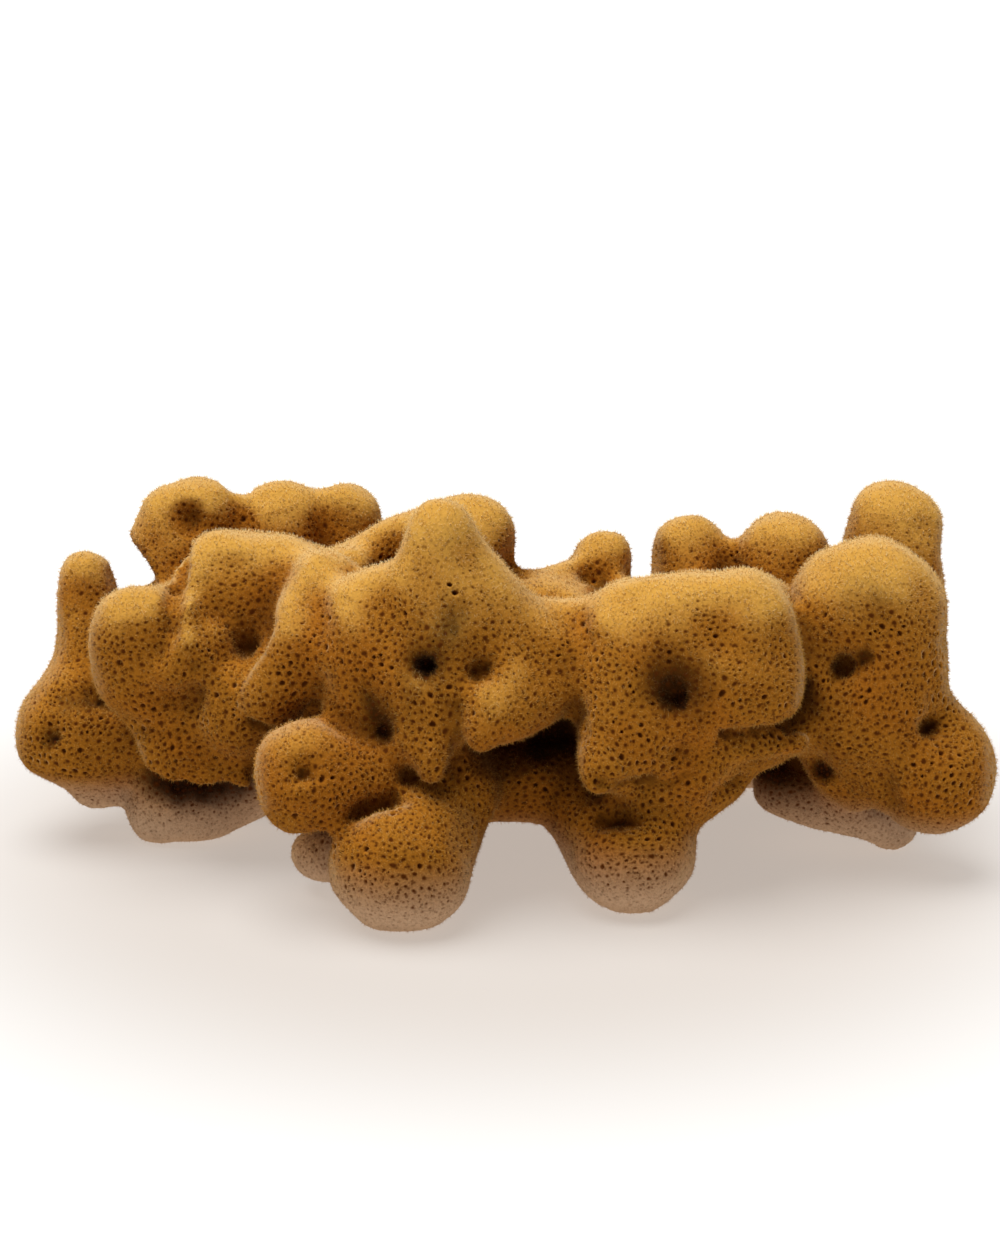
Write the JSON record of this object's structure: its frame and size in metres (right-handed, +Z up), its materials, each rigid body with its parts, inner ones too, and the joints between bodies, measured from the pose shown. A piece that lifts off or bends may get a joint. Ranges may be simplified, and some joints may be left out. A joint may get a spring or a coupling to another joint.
{
  "type": "sea sponge",
  "caption": "Natural sea sponge: one springy golden mass of rounded lobes, knobs, open mouths and fine pores, standing on ball-shaped feet.",
  "frame": {"origin": "on the surface that the sponge stands on, under the middle of its length and depth", "axes": "+X along the length, to the right seen from the front; +Y from the front to the back; +Z up"},
  "size_m": [0.221, 0.1208, 0.089],
  "materials": {
    "sponge": "matt, velvety, fine open fibre skeleton"
  },
  "bodies": {
    "root": {"sponge": "sponge"}
  },
  "joints": []
}
